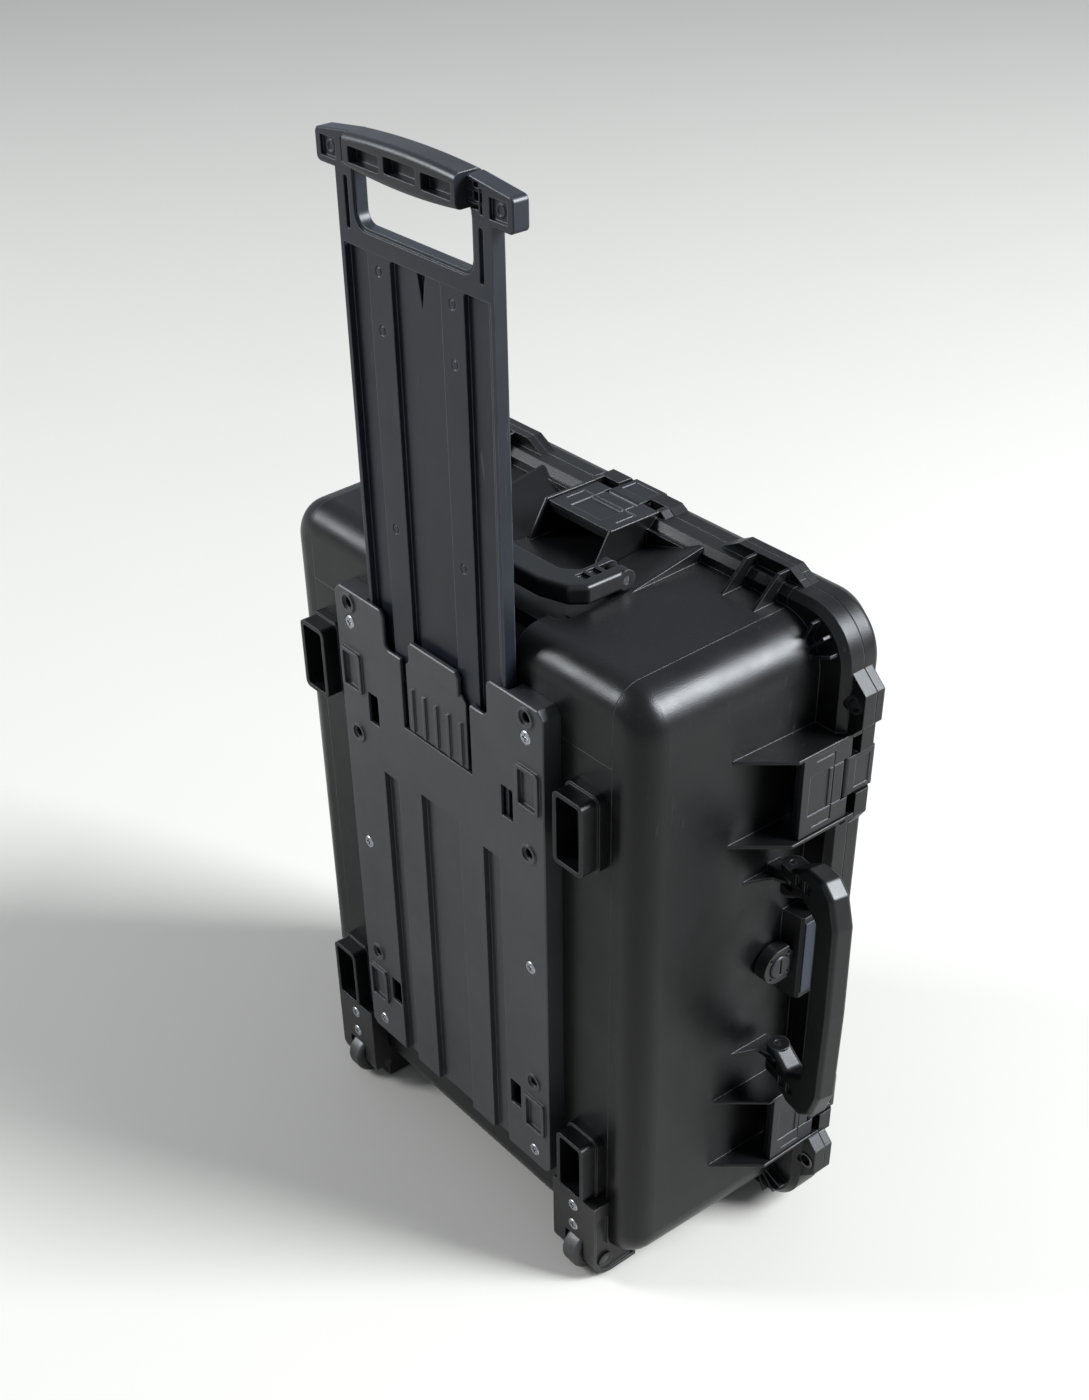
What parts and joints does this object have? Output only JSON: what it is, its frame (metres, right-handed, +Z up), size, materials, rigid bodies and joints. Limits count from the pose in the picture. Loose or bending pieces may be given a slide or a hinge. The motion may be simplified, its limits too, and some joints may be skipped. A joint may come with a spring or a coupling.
{
  "type": "hard equipment case",
  "caption": "Wheeled hard equipment case, upright, with pull-out trolley handle, two folding carry handles, three lever latches and a hinged lid",
  "frame": {"origin": "on the floor under the middle of the bounding box, case standing upright on its wheels and feet with the trolley handle up", "axes": "+Z up; +Y from the trolley side to the lid; +X to the side with the two latches"},
  "size_m": [0.527, 0.245, 0.8507],
  "materials": {
    "base_rear_wall": "charcoal black structural plastic with a fine grain",
    "base_top_wall": "charcoal black structural plastic with a fine grain",
    "base_bottom_wall": "charcoal black structural plastic with a fine grain",
    "base_left_wall": "charcoal black structural plastic with a fine grain",
    "base_right_wall": "charcoal black structural plastic with a fine grain",
    "rear_feet": "charcoal black structural plastic with a fine grain",
    "lid_face": "charcoal black structural plastic with a fine grain",
    "lid_top_wall": "charcoal black structural plastic with a fine grain",
    "lid_bottom_wall": "charcoal black structural plastic with a fine grain",
    "lid_left_wall": "charcoal black structural plastic with a fine grain",
    "lid_right_wall": "charcoal black structural plastic with a fine grain",
    "lid_latch_lugs": "charcoal black structural plastic with a fine grain",
    "lid_gasket": "black soft seal",
    "hinge_pins": "bright zinc-plated steel",
    "latch_lever_top": "charcoal black structural plastic with a fine grain",
    "latch_lever_side_upper": "charcoal black structural plastic with a fine grain",
    "latch_lever_side_lower": "charcoal black structural plastic with a fine grain",
    "latch_hook_top": "charcoal black structural plastic with a fine grain",
    "latch_hook_side_upper": "charcoal black structural plastic with a fine grain",
    "latch_hook_side_lower": "charcoal black structural plastic with a fine grain",
    "latch_pins": "bright zinc-plated steel",
    "catch_pins": "bright zinc-plated steel",
    "base_lock_rings": "bright zinc-plated steel",
    "lid_lock_rings": "bright zinc-plated steel",
    "top_handle": "charcoal black structural plastic with a fine grain",
    "top_handle_pins": "bright zinc-plated steel",
    "side_handle": "charcoal black structural plastic with a fine grain",
    "side_handle_pins": "bright zinc-plated steel",
    "valve_body": "charcoal black structural plastic with a fine grain",
    "valve_core": "charcoal black structural plastic with a fine grain",
    "nameplate": "dark blue-grey plate, left blank",
    "cover_plate": "charcoal black structural plastic with a fine grain",
    "release_tongue": "charcoal black structural plastic with a fine grain",
    "cover_screws": "zinc-plated steel",
    "wheel_bracket_left": "charcoal black structural plastic with a fine grain",
    "wheel_bracket_right": "charcoal black structural plastic with a fine grain",
    "bracket_screws": "zinc-plated steel",
    "wheel_left": "dark moulded wheel, worn tread",
    "wheel_right": "dark moulded wheel, worn tread",
    "axle_left": "bright zinc-plated steel",
    "axle_right": "bright zinc-plated steel",
    "trolley_frame": "dark grey plastic, scuffed",
    "trolley_grip": "black over-moulded grip"
  },
  "bodies": {
    "case_body": {"base_rear_wall": "base_rear_wall", "base_top_wall": "base_top_wall", "base_bottom_wall": "base_bottom_wall", "base_left_wall": "base_left_wall", "base_right_wall": "base_right_wall", "rear_feet": "rear_feet", "hinge_pins": "hinge_pins", "latch_pins": "latch_pins", "base_lock_rings": "base_lock_rings", "top_handle_pins": "top_handle_pins", "side_handle_pins": "side_handle_pins", "valve_body": "valve_body", "valve_core": "valve_core", "nameplate": "nameplate", "cover_plate": "cover_plate", "cover_screws": "cover_screws", "wheel_bracket_left": "wheel_bracket_left", "wheel_bracket_right": "wheel_bracket_right", "bracket_screws": "bracket_screws", "axle_left": "axle_left", "axle_right": "axle_right"},
    "lid_body": {"lid_face": "lid_face", "lid_top_wall": "lid_top_wall", "lid_bottom_wall": "lid_bottom_wall", "lid_left_wall": "lid_left_wall", "lid_right_wall": "lid_right_wall", "lid_latch_lugs": "lid_latch_lugs", "lid_gasket": "lid_gasket", "catch_pins": "catch_pins", "lid_lock_rings": "lid_lock_rings"},
    "lever_top_body": {"latch_lever_top": "latch_lever_top"},
    "lever_side_upper_body": {"latch_lever_side_upper": "latch_lever_side_upper"},
    "lever_side_lower_body": {"latch_lever_side_lower": "latch_lever_side_lower"},
    "hook_top_body": {"latch_hook_top": "latch_hook_top"},
    "hook_side_upper_body": {"latch_hook_side_upper": "latch_hook_side_upper"},
    "hook_side_lower_body": {"latch_hook_side_lower": "latch_hook_side_lower"},
    "top_handle_body": {"top_handle": "top_handle"},
    "side_handle_body": {"side_handle": "side_handle"},
    "tongue_body": {"release_tongue": "release_tongue"},
    "wheel_left_body": {"wheel_left": "wheel_left"},
    "wheel_right_body": {"wheel_right": "wheel_right"},
    "trolley_body": {"trolley_frame": "trolley_frame", "trolley_grip": "trolley_grip"}
  },
  "joints": [
    {"name": "lid_hinge", "type": "hinge", "parent": "case_body", "child": "lid_body", "pos_m": [-0.25749, 0.07175, 0.2885], "axis": [0, 0, 1], "range_deg": [0, 110]},
    {"name": "lever_top_hinge", "type": "hinge", "parent": "case_body", "child": "lever_top_body", "pos_m": [-0.02249, 0.0635, 0.5675], "axis": [-1, 0, 0], "range_deg": [0, 70]},
    {"name": "hook_top_hinge", "type": "hinge", "parent": "case_body", "child": "hook_top_body", "pos_m": [-0.02249, 0.0635, 0.5675], "axis": [1, 0, 0], "range_deg": [0, 40]},
    {"name": "lever_side_upper_hinge", "type": "hinge", "parent": "case_body", "child": "lever_side_upper_body", "pos_m": [0.20581, 0.0635, 0.4452], "axis": [0, 0, 1], "range_deg": [0, 70]},
    {"name": "hook_side_upper_hinge", "type": "hinge", "parent": "case_body", "child": "hook_side_upper_body", "pos_m": [0.20581, 0.0635, 0.4452], "axis": [0, 0, -1], "range_deg": [0, 40]},
    {"name": "lever_side_lower_hinge", "type": "hinge", "parent": "case_body", "child": "lever_side_lower_body", "pos_m": [0.20581, 0.0635, 0.1318], "axis": [0, 0, 1], "range_deg": [0, 70]},
    {"name": "hook_side_lower_hinge", "type": "hinge", "parent": "case_body", "child": "hook_side_lower_body", "pos_m": [0.20581, 0.0635, 0.1318], "axis": [0, 0, -1], "range_deg": [0, 40]},
    {"name": "top_handle_hinge", "type": "hinge", "parent": "case_body", "child": "top_handle_body", "pos_m": [-0.02249, -0.0099, 0.5632], "axis": [-1, 0, 0], "range_deg": [0, 95]},
    {"name": "side_handle_hinge", "type": "hinge", "parent": "case_body", "child": "side_handle_body", "pos_m": [0.20151, 0.025, 0.2885], "axis": [0, 0, 1], "range_deg": [-78, 50]},
    {"name": "trolley_slide", "type": "slide", "parent": "case_body", "child": "trolley_body", "axis": [0, 0, 1], "range_m": [-0.3, 0]},
    {"name": "tongue_flex", "type": "hinge", "parent": "case_body", "child": "tongue_body", "pos_m": [-0.02249, -0.1137, 0.4296], "axis": [1, 0, 0], "range_deg": [0, 8], "stiffness_Nm_per_rad": 0.6},
    {"name": "wheel_left_spin", "type": "hinge", "parent": "case_body", "child": "wheel_left_body", "pos_m": [-0.17324, -0.1025, 0.02], "axis": [1, 0, 0], "continuous": true},
    {"name": "wheel_right_spin", "type": "hinge", "parent": "case_body", "child": "wheel_right_body", "pos_m": [0.12826, -0.1025, 0.02], "axis": [1, 0, 0], "continuous": true}
  ]
}
